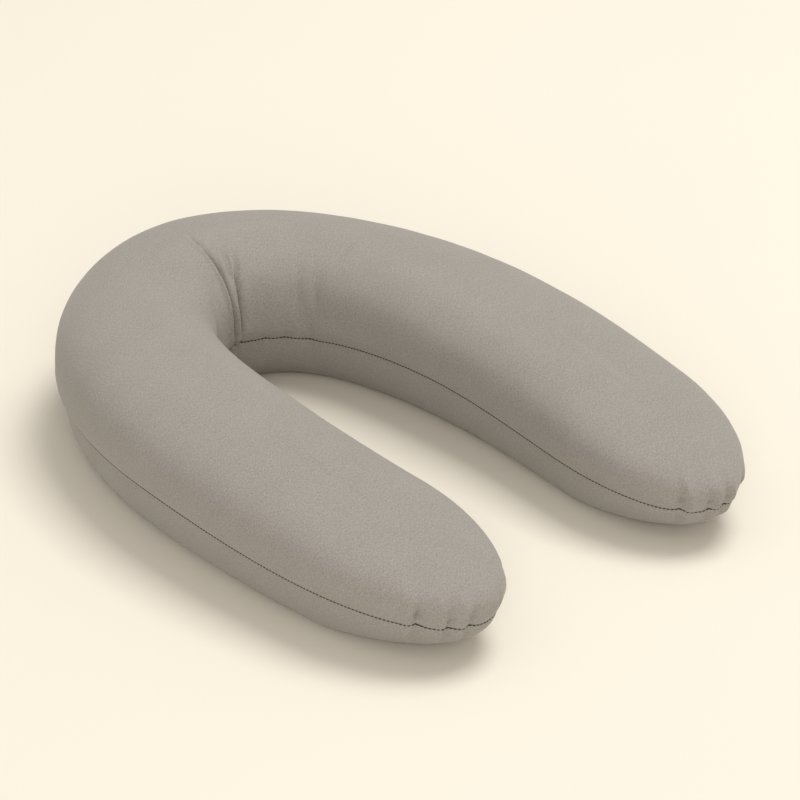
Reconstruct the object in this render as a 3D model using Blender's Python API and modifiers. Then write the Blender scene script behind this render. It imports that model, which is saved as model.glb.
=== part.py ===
"""Nursing pillow: a U-shaped bolster in a zipped jersey cover.

The pillow lies on its flat underside with its arms opening towards -Y. The outer
cover is an upper and a lower panel, sewn together all round except at the back of
the bend, where a coil zip closes them. Inside is a plain casing full of fibre.
Metres, +Z up, origin on the floor under the middle of the pillow.
"""

from collections import namedtuple
from math import atan2, cos, exp, pi, radians, sin

import bmesh
import bpy
from mathutils import Matrix, Vector

# ---- Plan of the pillow ---------------------------------------------------
HALF_LENGTH = 0.62            # centreline, from the back of the bend to the tip of an arm
TIP_LENGTH = 0.137            # rounded end of an arm
BEND_RADIUS = 0.1285          # centreline radius of the bend
ARM_TURN = radians(97.0)      # how far an arm's end has turned from the back's direction
ARM_CURVATURE = 0.67          # 1/m, what is left of the bend along the arms
MID_ARM = 0.30                # place of the mid-arm sizes along the centreline

BEND_HALF_WIDTH = 0.0715
MID_HALF_WIDTH = 0.0775
END_HALF_WIDTH = 0.0755

# ---- Section of the pillow ------------------------------------------------
BACK_HEIGHT = 0.134
BEND_HEIGHT = 0.126
MID_HEIGHT = 0.116
END_HEIGHT = 0.099
RIDGE_FALL = 0.15             # slope of the ridge where a tip begins
BEND_SEAM_HEIGHT = 0.045
MID_SEAM_HEIGHT = 0.051
END_SEAM_HEIGHT = 0.043
TIP_SEAM_HEIGHT = 0.034
BULGE_RISE = 0.014            # widest line of the upper panel, above the seam
SEAM_INSET = 0.0056           # how far the seam pulls in from the widest line
CROWN_POWER = 2.75            # fullness of the upper panel, 2 is an ellipse
FLAT_HALF_WIDTH = 0.046       # half of the strip that rests on the floor

# ---- Cover, casing and filling --------------------------------------------
COVER_THICKNESS = 0.0015
CASING_THICKNESS = 0.0008
CASING_CLEARANCE = 0.0070     # room between cover and casing, which the zip needs
FILLING_CLEARANCE = 0.0012    # between casing and fibre
SEAM_GAP = 0.0003             # between the sewn rims of two panels
PART_GAP = 0.0003             # between neighbours that touch
THREAD_RADIUS = 0.0005
STITCH_DROP = 0.0012          # zip stitches, from the edge of the slot
LABEL_WIDTH = 0.022
LABEL_DROP = 0.030
LABEL_THICKNESS = 0.0006
LABEL_DISTANCE = 0.045        # from the zip's slot, along the centreline

# ---- Zip ------------------------------------------------------------------
ZIP_LENGTH = 0.290            # coils, from end to end along the seam
TAPE_THICKNESS = 0.0006
TAPE_WIDTH = 0.0065
TAPE_CLEARANCE = 0.0013       # between the cover's inside and the tape
TAPE_TAIL = 0.010             # tape beyond each end of the coils
COIL_WIDTH = 0.0018
COIL_DEPTH = 0.0014
COIL_SPACING = 0.0012         # between the two rows
STOP_LENGTH = 0.0030
SLOT_TAPER = 0.014            # from the full slot to the sewn seam

SLIDER_LENGTH = 0.0090
SLIDER_CLEARANCE = 0.00035    # from coils and tapes
SLOT_CLEARANCE = 0.00045      # from the panels' edges
PLATE_THICKNESS = 0.0010
FLANGE_THICKNESS = 0.0008
DIVIDER_THICKNESS = 0.0005
DIVIDER_LENGTH = 0.0026
CROWN_LENGTH = 0.0068
CROWN_WIDTH = 0.0018
CROWN_THICKNESS = 0.0007
CROWN_CLEARANCE = 0.0003      # round the pull's pivot bar

PULL_LENGTH = 0.0240
PULL_WIDTH = 0.0058
PULL_THICKNESS = 0.0009
PULL_RAIL = 0.0010            # frame round the pull's window
PULL_WINDOW_LENGTH = 0.0050

# ---- Fineness -------------------------------------------------------------
BEND_ROWS = 9                 # from the back to the end of the zip's slot
ARM_ROWS = 8                  # from the bend to the start of the tip
ARM_ROW_GROWTH = 1.3          # rows stand closer near the bend
TIP_ROWS = 10                 # half-way round a tip
UPPER_STEPS = 7               # from the ridge to the widest line of the cover
BULGE_STEPS = 2
LOWER_STEPS = 5
INNER_STEPS = 5               # the same for the casing and the filling
INNER_LOWER_STEPS = 4
INNER_ROW_SKIP = 2            # every second row carries the casing and the filling
CENTRELINE_STEP = 0.0005
ZIP_STEP = radians(2.5)
MERGE = 0.00001

# ---- Sizes that follow ----------------------------------------------------
RIM_RADIUS = BEND_RADIUS + BEND_HALF_WIDTH - SEAM_INSET
TAPE_OUTER = RIM_RADIUS - COVER_THICKNESS - TAPE_CLEARANCE
TAPE_INNER = TAPE_OUTER - TAPE_THICKNESS
COIL_INNER = TAPE_OUTER + PART_GAP
COIL_OUTER = COIL_INNER + COIL_DEPTH
COIL_LOW = COIL_SPACING / 2
COIL_HIGH = COIL_LOW + COIL_WIDTH
SLIDER_HALF_WIDTH = COIL_HIGH + SLIDER_CLEARANCE + FLANGE_THICKNESS
SLOT_HALF_HEIGHT = SLIDER_HALF_WIDTH + SLOT_CLEARANCE
PLATE_OUTER = COIL_OUTER + SLIDER_CLEARANCE + PLATE_THICKNESS
PIVOT_RADIUS = PLATE_OUTER + CROWN_CLEARANCE + PULL_THICKNESS / 2
CROWN_OUTER = PIVOT_RADIUS + PULL_THICKNESS / 2 + CROWN_CLEARANCE + CROWN_THICKNESS

ZIP_HALF_ANGLE = ZIP_LENGTH / 2 / COIL_OUTER
STOP_ANGLE = (PART_GAP + STOP_LENGTH) / COIL_OUTER
SLOT_HALF_ANGLE = ZIP_HALF_ANGLE + STOP_ANGLE + PART_GAP / COIL_OUTER
BEND_HALF_ANGLE = SLOT_HALF_ANGLE + SLOT_TAPER / RIM_RADIUS
SLIDER_REST_ANGLE = ZIP_HALF_ANGLE - (SLIDER_LENGTH / 2 + PART_GAP) / COIL_OUTER
TAIL_ANGLE = ZIP_HALF_ANGLE + TAPE_TAIL / TAPE_OUTER

BEND_ARC = BEND_RADIUS * BEND_HALF_ANGLE
ARM_START = HALF_LENGTH - TIP_LENGTH
BEND_CURVATURE = 1 / BEND_RADIUS
# The bend eases into the arms over this length, so that an arm turns by ARM_TURN
EASE_LENGTH = (ARM_TURN - BEND_HALF_ANGLE - ARM_CURVATURE * (ARM_START - BEND_ARC)) / (
    BEND_CURVATURE - ARM_CURVATURE)
STATIONS = (0.0, BEND_ARC, MID_ARM, ARM_START)
HALF_WIDTHS = (BEND_HALF_WIDTH, BEND_HALF_WIDTH, MID_HALF_WIDTH, END_HALF_WIDTH)
HEIGHTS = (BACK_HEIGHT, BEND_HEIGHT, MID_HEIGHT, END_HEIGHT)
SEAM_HEIGHTS = (BEND_SEAM_HEIGHT, BEND_SEAM_HEIGHT, MID_SEAM_HEIGHT, END_SEAM_HEIGHT)

CASING_OFFSET = COVER_THICKNESS + CASING_CLEARANCE
FILLING_OFFSET = CASING_OFFSET + CASING_THICKNESS + FILLING_CLEARANCE

# A spoke is one line across the pillow, from its ridge out to its seam. Its fall is how
# steeply the crown slopes down along it.
Spoke = namedtuple("Spoke", "foot direction reach height fall seam_height slot")


# ---- Centreline and spokes ------------------------------------------------
def slopes(values, end_slope):
    """Slope of a size at each station, level wherever the size stops growing or shrinking."""
    steps = zip(values, values[1:], STATIONS, STATIONS[1:])
    rises = [(high - low) / (end - start) for low, high, start, end in steps]
    inner = [
        2 * before * after / (before + after) if before * after > 0 else 0.0
        for before, after in zip(rises, rises[1:])
    ]
    return [0.0, *inner, end_slope]


def eased(distance, values, end_slope=0.0):
    """A size at a distance along the centreline, on a smooth curve through the stations."""
    span = sum(distance >= station for station in STATIONS[1:-1])
    length = STATIONS[span + 1] - STATIONS[span]
    share = (distance - STATIONS[span]) / length
    rest = 1 - share
    tilt = slopes(values, end_slope)
    low = values[span] * (1 + 2 * share) + tilt[span] * length * share
    high = values[span + 1] * (1 + 2 * rest) - tilt[span + 1] * length * rest
    return low * rest * rest + high * share * share


def curvature(distance):
    """A round bend that eases into nearly straight arms."""
    if distance <= BEND_ARC:
        return BEND_CURVATURE
    fading = exp((BEND_ARC - distance) / EASE_LENGTH)
    return ARM_CURVATURE + (BEND_CURVATURE - ARM_CURVATURE) * fading


def centreline(distances):
    """Points and headings of the right arm's centreline at growing distances.

    The back of the bend is at (0, BEND_RADIUS), and the heading turns from +X
    towards -Y.
    """
    point = Vector((0.0, BEND_RADIUS))
    heading = 0.0
    travelled = 0.0
    stops = []
    for distance in distances:
        steps = max(1, round((distance - travelled) / CENTRELINE_STEP))
        step = (distance - travelled) / steps
        for _ in range(steps):
            middle = heading + curvature(travelled + step / 2) * step / 2
            point = point + step * Vector((cos(middle), -sin(middle)))
            heading += curvature(travelled + step / 2) * step
            travelled += step
        stops.append((point, heading))
    return stops


def row_distances():
    """Where the rows of the right half stand along the centreline."""
    bend = [BEND_RADIUS * SLOT_HALF_ANGLE * i / BEND_ROWS for i in range(BEND_ROWS + 1)]
    arm_length = ARM_START - BEND_ARC
    arm = [BEND_ARC + arm_length * (i / ARM_ROWS) ** ARM_ROW_GROWTH for i in range(ARM_ROWS + 1)]
    return bend + arm


def side_spoke(distance, stop, side):
    """A spoke square to the centreline: side +1 is the outer side, -1 the inner."""
    foot, heading = stop
    in_slot = side > 0 and distance <= BEND_RADIUS * SLOT_HALF_ANGLE + MERGE
    return Spoke(
        foot=foot,
        direction=side * Vector((sin(heading), cos(heading))),
        reach=eased(distance, HALF_WIDTHS),
        height=eased(distance, HEIGHTS, -RIDGE_FALL),
        fall=0.0,
        seam_height=eased(distance, SEAM_HEIGHTS),
        slot=SLOT_HALF_HEIGHT if in_slot else SEAM_GAP / 2,
    )


def tip_spoke(stop, turn):
    """A spoke of the rounded tip: it turns from the outer side round to the inner."""
    foot, heading = stop
    across = END_HALF_WIDTH * cos(turn) * Vector((sin(heading), cos(heading)))
    along = TIP_LENGTH * sin(turn) * Vector((cos(heading), -sin(heading)))
    reach = (across + along).length
    seam_drop = (END_SEAM_HEIGHT - TIP_SEAM_HEIGHT) * sin(turn) ** 2
    return Spoke(
        foot=foot,
        direction=(across + along).normalized(),
        reach=reach,
        height=END_HEIGHT,
        fall=RIDGE_FALL * along.length / reach,
        seam_height=END_SEAM_HEIGHT - seam_drop,
        slot=SEAM_GAP / 2,
    )


def mirrored(spoke):
    return spoke._replace(
        foot=Vector((-spoke.foot.x, spoke.foot.y)),
        direction=Vector((-spoke.direction.x, spoke.direction.y)),
    )


def seam_loop():
    """All spokes in order round the seam, from the back and clockwise from above."""
    distances = row_distances()
    stops = centreline(distances)
    outer = [side_spoke(d, stop, 1) for d, stop in zip(distances, stops)]
    tip = [tip_spoke(stops[-1], pi * i / TIP_ROWS) for i in range(1, TIP_ROWS)]
    inner = [side_spoke(d, stop, -1) for d, stop in zip(distances, stops)]
    right = outer + tip + inner[::-1]
    left = [mirrored(spoke) for spoke in reversed(right[1:-1])]
    return centred(right + left)


def centred(spokes):
    """The same spokes with the pillow's outline centred on the origin along Y."""
    ends = [(spoke.foot + spoke.reach * spoke.direction).y for spoke in spokes]
    shift = Vector((0.0, -(min(ends) + max(ends)) / 2))
    return [spoke._replace(foot=spoke.foot + shift) for spoke in spokes]


def place(spoke, out, up):
    """A point of a spoke, as far out from the ridge and up from the floor as asked."""
    across = spoke.foot + out * spoke.direction
    return Vector((across.x, across.y, up))


# ---- Sections: points (out, up) along a spoke -----------------------------
def upper_section(spoke, offset, slot, steps=UPPER_STEPS):
    """From the ridge over the crown and round the bulge to the seam."""
    reach = spoke.reach - offset
    widest = spoke.seam_height + BULGE_RISE
    crown = spoke.height - offset - widest
    points = []
    for i in range(steps + 1):
        angle = pi / 2 * (1 - i / steps)
        out = reach * max(cos(angle), 0.0) ** (2 / CROWN_POWER)
        rise = (crown - spoke.fall * out) * sin(angle) ** (2 / CROWN_POWER)
        points.append((out if i else 0.0, widest + rise))
    rim = spoke.seam_height + slot
    for i in range(1, BULGE_STEPS + 1):
        share = i / BULGE_STEPS
        points.append((reach - SEAM_INSET * share ** 2, widest + (rim - widest) * share))
    return points


def lower_section(spoke, offset, slot, steps=LOWER_STEPS):
    """From the seam round the lower edge and flat along the floor to the middle."""
    rim_out = spoke.reach - offset - SEAM_INSET
    rim_up = spoke.seam_height - slot
    points = []
    for i in range(steps + 1):
        angle = pi / 2 * i / steps
        out = FLAT_HALF_WIDTH + (rim_out - FLAT_HALF_WIDTH) * cos(angle)
        points.append((out, rim_up - (rim_up - offset) * sin(angle)))
    return points + [(0.0, offset)]


# ---- Making objects -------------------------------------------------------
def clear_scene():
    for old in list(bpy.data.objects):
        bpy.data.objects.remove(old, do_unlink=True)


def new_collection(name):
    collection = bpy.data.collections.new(name)
    bpy.context.scene.collection.children.link(collection)
    return collection


def surface_finish(name, colour, roughness, metallic=0.0):
    material = bpy.data.materials.new(name)
    material.use_nodes = True
    principled = material.node_tree.nodes["Principled BSDF"]
    principled.inputs["Base Color"].default_value = (*colour, 1.0)
    principled.inputs["Roughness"].default_value = roughness
    principled.inputs["Metallic"].default_value = metallic
    material.diffuse_color = (*colour, 1.0)
    return material


def add_mesh_object(name, bm, finish, collection):
    mesh = bpy.data.meshes.new(name)
    bm.to_mesh(mesh)
    bm.free()
    mesh.materials.append(finish)
    obj = bpy.data.objects.new(name, mesh)
    collection.objects.link(obj)
    return obj


def shade_round(obj, sharp_angle=radians(40)):
    obj.data.shade_smooth()
    obj.data.set_sharp_from_angle(angle=sharp_angle)


def loft(name, spokes, sections, finish, collection):
    """A surface through one section on each spoke, closed round the loop."""
    bm = bmesh.new()
    rows = [
        [bm.verts.new(place(spoke, out, up)) for out, up in section]
        for spoke, section in zip(spokes, sections)
    ]
    for row, following in zip(rows, rows[1:] + rows[:1]):
        for i in range(len(row) - 1):
            bm.faces.new((row[i], following[i], following[i + 1], row[i + 1]))
    bmesh.ops.remove_doubles(bm, verts=bm.verts, dist=MERGE)
    obj = add_mesh_object(name, bm, finish, collection)
    shade_round(obj)
    return obj


def add_thickness(obj, thickness):
    """Turn a surface into a shell that keeps its outer face."""
    solidify = obj.modifiers.new("Thickness", "SOLIDIFY")
    solidify.thickness = thickness
    solidify.offset = -1.0


def thread(name, points, closed, finish, collection):
    """A thread along points, as a round tube with filled ends."""
    curve = bpy.data.curves.new(name, "CURVE")
    curve.dimensions = "3D"
    curve.bevel_depth = THREAD_RADIUS
    curve.bevel_resolution = 1
    curve.use_fill_caps = not closed
    spline = curve.splines.new("POLY")
    spline.points.add(len(points) - 1)
    for target, point in zip(spline.points, points):
        target.co = (*point, 1.0)
    spline.use_cyclic_u = closed
    curve.materials.append(finish)
    obj = bpy.data.objects.new(name, curve)
    collection.objects.link(obj)
    return obj


def arc_bar(name, radii, heights, angles, bend_centre, finish, collection):
    """A bar of rectangular section, spun about the bend's upright axis.

    Angles are measured from the back (+Y) and positive towards +X.
    """
    start, end = angles
    steps = max(1, round((end - start) / ZIP_STEP))
    outward = Vector((sin(start), cos(start), 0.0))
    corners = [(radii[0], heights[0]), (radii[1], heights[0]), (radii[1], heights[1]), (radii[0], heights[1])]
    bm = bmesh.new()
    face = bm.faces.new([bm.verts.new(bend_centre + r * outward + Vector((0, 0, z))) for r, z in corners])
    bmesh.ops.spin(
        bm, geom=[face, *face.edges, *face.verts], cent=bend_centre, axis=(0, 0, -1),
        angle=end - start, steps=steps, use_merge=False, use_duplicate=False)
    bmesh.ops.recalc_face_normals(bm, faces=bm.faces)
    obj = add_mesh_object(name, bm, finish, collection)
    shade_round(obj)
    return obj


def prism(name, outlines, thickness, placing, finish, collection):
    """A flat outline, with any holes in it, as a mesh of the given thickness."""
    curve = bpy.data.curves.new(name, "CURVE")
    curve.dimensions = "2D"
    curve.fill_mode = "BOTH"
    curve.extrude = thickness / 2
    for outline in outlines:
        spline = curve.splines.new("POLY")
        spline.points.add(len(outline) - 1)
        for target, (x, y) in zip(spline.points, outline):
            target.co = (x, y, 0.0, 1.0)
        spline.use_cyclic_u = True
    drawn = bpy.data.objects.new(name + "_outline", curve)
    collection.objects.link(drawn)
    bpy.context.view_layer.update()
    evaluated = drawn.evaluated_get(bpy.context.evaluated_depsgraph_get())
    mesh = bpy.data.meshes.new_from_object(evaluated)
    bpy.data.objects.remove(drawn)
    bm = bmesh.new()
    bm.from_mesh(mesh)
    bmesh.ops.remove_doubles(bm, verts=bm.verts, dist=MERGE)
    bmesh.ops.recalc_face_normals(bm, faces=bm.faces)
    bmesh.ops.transform(bm, matrix=placing, verts=bm.verts)
    bm.to_mesh(mesh)
    bm.free()
    mesh.name = name
    mesh.materials.clear()
    mesh.materials.append(finish)
    obj = bpy.data.objects.new(name, mesh)
    collection.objects.link(obj)
    return obj


def rectangle(low, high):
    return [(low[0], low[1]), (high[0], low[1]), (high[0], high[1]), (low[0], high[1])]


def box(name, low, high, finish, collection):
    low, high = Vector(low), Vector(high)
    size = Matrix.Diagonal((*(high - low), 1.0))
    bm = bmesh.new()
    bmesh.ops.create_cube(bm, size=1.0, matrix=Matrix.Translation((low + high) / 2) @ size)
    return add_mesh_object(name, bm, finish, collection)


def join_solids(target, others, guides):
    """Union the others into the target and keep them as hidden guides."""
    for other in others:
        union = target.modifiers.new("Join " + other.name, "BOOLEAN")
        union.operation = "UNION"
        union.solver = "EXACT"
        union.object = other
        for collection in list(other.users_collection):
            collection.objects.unlink(other)
        guides.objects.link(other)
        other.hide_render = True
        other.display_type = "WIRE"


def axis_empty(name, location, turn, collection, parent=None):
    empty = bpy.data.objects.new(name, None)
    empty.empty_display_size = 0.01
    empty.location = location
    empty.rotation_euler = (0.0, 0.0, turn)
    empty.parent = parent
    collection.objects.link(empty)
    return empty


# ---- The pillow's pieces --------------------------------------------------
def make_cover(spokes, finishes, pillow):
    """The outer cover's two panels, with a slot for the zip at the back."""
    top = [upper_section(spoke, 0.0, spoke.slot) for spoke in spokes]
    bottom = [lower_section(spoke, 0.0, spoke.slot) for spoke in spokes]
    upper = loft("cover_top", spokes, top, finishes["jersey"], pillow)
    lower = loft("cover_bottom", spokes, bottom, finishes["jersey_under"], pillow)
    add_thickness(upper, COVER_THICKNESS)
    add_thickness(lower, COVER_THICKNESS)


def make_casing(spokes, finishes, pillow):
    """The plain inner casing and the fibre that fills it."""
    half_gap = SEAM_GAP / 2
    top = [upper_section(spoke, CASING_OFFSET, half_gap, INNER_STEPS) for spoke in spokes]
    bottom = [lower_section(spoke, CASING_OFFSET, half_gap, INNER_LOWER_STEPS) for spoke in spokes]
    upper = loft("casing_top", spokes, top, finishes["cotton"], pillow)
    lower = loft("casing_bottom", spokes, bottom, finishes["cotton_under"], pillow)
    add_thickness(upper, CASING_THICKNESS)
    add_thickness(lower, CASING_THICKNESS)
    filling = [
        upper_section(spoke, FILLING_OFFSET, 0.0, INNER_STEPS)
        + lower_section(spoke, FILLING_OFFSET, 0.0, INNER_LOWER_STEPS)[1:]
        for spoke in spokes
    ]
    loft("fibre_filling", spokes, filling, finishes["fibre"], pillow)


def sewn_spokes(spokes):
    """The spokes from the zip's right end round both arms to its left end."""
    return [spoke for spoke in spokes if spoke.slot < SLOT_HALF_HEIGHT]


def seam_points(spokes, offset):
    lift = THREAD_RADIUS + PART_GAP
    return [place(s, s.reach - offset - SEAM_INSET + lift, s.seam_height) for s in spokes]


def make_seam_threads(spokes, finishes, pillow):
    seam = seam_points(sewn_spokes(spokes), 0.0)
    casing_seam = seam_points(spokes[::INNER_ROW_SKIP], CASING_OFFSET)
    thread("seam_thread", seam, False, finishes["seam_thread"], pillow)
    thread("casing_thread", casing_seam, True, finishes["casing_thread"], pillow)


def make_zip_threads(spokes, finishes, pillow):
    """Stitches that hold the tapes, above and below the slot."""
    slotted = [spoke for spoke in spokes if spoke.slot == SLOT_HALF_HEIGHT]
    right_to_left = sorted(slotted, key=lambda spoke: -spoke.foot.x)
    lift = THREAD_RADIUS + PART_GAP
    edge = SLOT_HALF_HEIGHT + STITCH_DROP
    above = []
    below = []
    for spoke in right_to_left:
        rise = (BULGE_RISE - edge) / (BULGE_RISE - SLOT_HALF_HEIGHT)
        above_out = spoke.reach - SEAM_INSET * rise ** 2 + lift
        above.append(place(spoke, above_out, spoke.seam_height + edge))
        below_out = spoke.reach - SEAM_INSET + lift
        below.append(place(spoke, below_out, spoke.seam_height - edge))
    thread("zip_thread_upper", above, False, finishes["zip_thread_upper"], pillow)
    thread("zip_thread_lower", below, False, finishes["zip_thread_lower"], pillow)


def make_zip(bend_centre, finishes, pillow):
    """Tapes, coils and stops, all about the bend's upright axis."""
    coil_angles = (-ZIP_HALF_ANGLE, ZIP_HALF_ANGLE)
    tape_angles = (-TAIL_ANGLE, TAIL_ANGLE)
    stop_start = ZIP_HALF_ANGLE + PART_GAP / COIL_OUTER
    stop_end = ZIP_HALF_ANGLE + STOP_ANGLE
    for name, sign in (("upper", 1), ("lower", -1)):
        coil_heights = sorted((sign * COIL_LOW, sign * COIL_HIGH))
        tape_heights = sorted((sign * COIL_LOW, sign * (COIL_LOW + TAPE_WIDTH)))
        arc_bar(
            "zip_tape_" + name, (TAPE_INNER, TAPE_OUTER), tape_heights, tape_angles, bend_centre,
            finishes["zip_tape_" + name], pillow)
        arc_bar(
            "zip_coil_" + name, (COIL_INNER, COIL_OUTER), coil_heights, coil_angles, bend_centre,
            finishes["zip_coil_" + name], pillow)
        arc_bar(
            "zip_top_stop_" + name, (COIL_INNER, COIL_OUTER), coil_heights, (stop_start, stop_end),
            bend_centre, finishes["zip_top_stop_" + name], pillow)
    arc_bar(
        "zip_bottom_stop", (COIL_INNER, COIL_OUTER), (-COIL_HIGH, COIL_HIGH), (-stop_end, -stop_start),
        bend_centre, finishes["zip_bottom_stop"], pillow)


def make_slider(travel_axis, finishes, pillow, guides):
    """The slider: a channel over the coils, a plate behind the tapes, a divider and a crown.

    Its frame is the travel axis, +X outwards, +Y along the zip to the open end.
    """
    half_length = SLIDER_LENGTH / 2
    channel_inner = TAPE_OUTER + SLIDER_CLEARANCE
    plate_inner = COIL_OUTER + SLIDER_CLEARANCE
    flange_low = SLIDER_HALF_WIDTH - FLANGE_THICKNESS
    channel_outline = [
        (channel_inner, -SLIDER_HALF_WIDTH), (PLATE_OUTER, -SLIDER_HALF_WIDTH),
        (PLATE_OUTER, SLIDER_HALF_WIDTH), (channel_inner, SLIDER_HALF_WIDTH),
        (channel_inner, flange_low), (plate_inner, flange_low),
        (plate_inner, -flange_low), (channel_inner, -flange_low),
    ]
    # Outline X, Y and depth go to +X, +Z and -Y
    upright = Matrix.Rotation(pi / 2, 4, "X")
    slider = prism("zip_slider", [channel_outline], SLIDER_LENGTH, upright, finishes["zip_slider"], pillow)

    back_outer = TAPE_INNER - SLIDER_CLEARANCE
    back_inner = back_outer - FLANGE_THICKNESS
    back_plate = box(
        "slider_back_plate", (back_inner, -half_length, -SLIDER_HALF_WIDTH),
        (back_outer, half_length, SLIDER_HALF_WIDTH), finishes["zip_slider"], pillow)
    sunk = FLANGE_THICKNESS / 2
    divider = box(
        "slider_divider", (back_outer - sunk, -DIVIDER_LENGTH / 2, -DIVIDER_THICKNESS / 2),
        (plate_inner + sunk, DIVIDER_LENGTH / 2, DIVIDER_THICKNESS / 2), finishes["zip_slider"], pillow)

    crown_half = CROWN_LENGTH / 2
    leg_inner = crown_half - CROWN_THICKNESS
    crown_base = PLATE_OUTER - sunk
    bridge_inner = CROWN_OUTER - CROWN_THICKNESS
    crown_outline = [
        (crown_base, -crown_half), (CROWN_OUTER, -crown_half), (CROWN_OUTER, crown_half),
        (crown_base, crown_half), (crown_base, leg_inner), (bridge_inner, leg_inner),
        (bridge_inner, -leg_inner), (crown_base, -leg_inner),
    ]
    crown = prism("slider_crown", [crown_outline], CROWN_WIDTH, Matrix(), finishes["zip_slider"], pillow)
    parts = [back_plate, divider, crown]
    for piece in [slider, *parts]:
        piece.parent = travel_axis
    join_solids(slider, parts, guides)


def make_pull(pull_axis, finishes, pillow):
    """The pull: a flat tab whose window leaves a pivot bar inside the crown."""
    bar = PULL_THICKNESS / 2
    half_width = PULL_WIDTH / 2
    corner = half_width / 2
    far = PULL_LENGTH - bar
    tab = [
        (-bar, -half_width), (far - corner, -half_width), (far, -corner),
        (far, corner), (far - corner, half_width), (-bar, half_width),
    ]
    window = rectangle((bar, PULL_RAIL - half_width), (bar + PULL_WINDOW_LENGTH, half_width - PULL_RAIL))
    # Outline X, Y and depth go to +Y, +Z and +X
    placing = Matrix(((0, 0, 1, 0), (1, 0, 0, 0), (0, 1, 0, 0), (0, 0, 0, 1)))
    pull = prism("zip_pull", [tab, window], PULL_THICKNESS, placing, finishes["zip_pull"], pillow)
    pull.parent = pull_axis


def make_care_label(spokes, finishes, pillow):
    """A blank label sewn into the seam beside the zip, hanging down."""
    distance = BEND_ARC + LABEL_DISTANCE
    spoke = side_spoke(distance, centreline([distance])[0], 1)
    shift = spokes[0].foot.y - BEND_RADIUS
    foot = spoke.foot + Vector((0.0, shift))
    out = spoke.reach - SEAM_INSET + 2 * THREAD_RADIUS + 2 * PART_GAP
    label = box(
        "care_label", (0.0, -LABEL_WIDTH / 2, -LABEL_DROP), (LABEL_THICKNESS, LABEL_WIDTH / 2, 0.0),
        finishes["care_label"], pillow)
    at = foot + out * spoke.direction
    label.location = (at.x, at.y, spoke.seam_height)
    label.rotation_euler = (0.0, 0.0, atan2(spoke.direction.y, spoke.direction.x))


FINISHES = {
    "jersey": ((0.300, 0.272, 0.240), 0.92),
    "jersey_under": ((0.310, 0.282, 0.250), 0.92),
    "cotton": ((0.780, 0.760, 0.720), 0.85),
    "cotton_under": ((0.760, 0.740, 0.700), 0.85),
    "fibre": ((0.900, 0.900, 0.880), 0.95),
    "seam_thread": ((0.030, 0.024, 0.020), 0.70),
    "casing_thread": ((0.800, 0.790, 0.760), 0.70),
    "zip_thread_upper": ((0.200, 0.180, 0.160), 0.70),
    "zip_thread_lower": ((0.190, 0.170, 0.150), 0.70),
    "zip_tape_upper": ((0.220, 0.200, 0.180), 0.80),
    "zip_tape_lower": ((0.210, 0.190, 0.170), 0.80),
    "zip_coil_upper": ((0.170, 0.155, 0.140), 0.45),
    "zip_coil_lower": ((0.160, 0.145, 0.130), 0.45),
    "zip_top_stop_upper": ((0.420, 0.420, 0.430), 0.35, 1.0),
    "zip_top_stop_lower": ((0.410, 0.410, 0.420), 0.35, 1.0),
    "zip_bottom_stop": ((0.400, 0.400, 0.410), 0.35, 1.0),
    "zip_slider": ((0.340, 0.330, 0.320), 0.35, 1.0),
    "zip_pull": ((0.350, 0.340, 0.330), 0.38, 1.0),
    "care_label": ((0.820, 0.810, 0.780), 0.75),
}


def main():
    clear_scene()
    pillow = new_collection("nursing_pillow")
    guides = new_collection("slider_guides")
    finishes = {name: surface_finish(name, *values) for name, values in FINISHES.items()}

    spokes = seam_loop()
    back = spokes[0].foot
    bend_centre = Vector((0.0, back.y - BEND_RADIUS, BEND_SEAM_HEIGHT))

    make_cover(spokes, finishes, pillow)
    make_casing(spokes[::INNER_ROW_SKIP], finishes, pillow)
    make_seam_threads(spokes, finishes, pillow)
    make_zip_threads(spokes, finishes, pillow)
    make_zip(bend_centre, finishes, pillow)
    travel_axis = axis_empty("zip_slider_axis", bend_centre, pi / 2 - SLIDER_REST_ANGLE, pillow)
    make_slider(travel_axis, finishes, pillow, guides)
    pull_axis = axis_empty("zip_pull_axis", (PIVOT_RADIUS, 0.0, 0.0), 0.0, pillow, travel_axis)
    make_pull(pull_axis, finishes, pillow)
    make_care_label(spokes, finishes, pillow)


main()
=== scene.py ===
"""Looks of the nursing pillow: a stuffed jersey cover with sewn seams, gathers and a hidden zip.

The cover is one closed loop of spokes, each a line across the pillow from its ridge out to
its seam, as in the part. Its two panels are laid out as even grids on those spokes, filled
out by a cloth simulation, and then gathered, creased and rolled in at the seam.
Metres, +Z up.
"""

from math import cos, pi, radians, sin

import bpy
import numpy as np
from mathutils import Matrix, Vector, noise


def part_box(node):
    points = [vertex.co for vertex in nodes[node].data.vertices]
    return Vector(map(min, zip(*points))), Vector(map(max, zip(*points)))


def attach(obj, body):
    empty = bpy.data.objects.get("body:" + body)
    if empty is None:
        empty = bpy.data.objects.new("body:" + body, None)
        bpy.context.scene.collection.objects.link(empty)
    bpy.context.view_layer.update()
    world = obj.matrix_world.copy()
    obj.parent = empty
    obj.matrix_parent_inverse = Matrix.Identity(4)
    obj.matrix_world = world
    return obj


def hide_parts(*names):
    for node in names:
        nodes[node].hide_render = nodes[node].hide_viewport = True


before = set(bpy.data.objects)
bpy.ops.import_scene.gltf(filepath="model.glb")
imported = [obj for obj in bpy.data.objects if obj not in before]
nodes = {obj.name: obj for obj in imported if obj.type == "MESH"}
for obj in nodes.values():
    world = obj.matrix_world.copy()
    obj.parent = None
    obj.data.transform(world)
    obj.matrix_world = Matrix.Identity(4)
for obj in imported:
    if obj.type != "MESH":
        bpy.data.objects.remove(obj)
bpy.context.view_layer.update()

MM = 0.001

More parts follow.
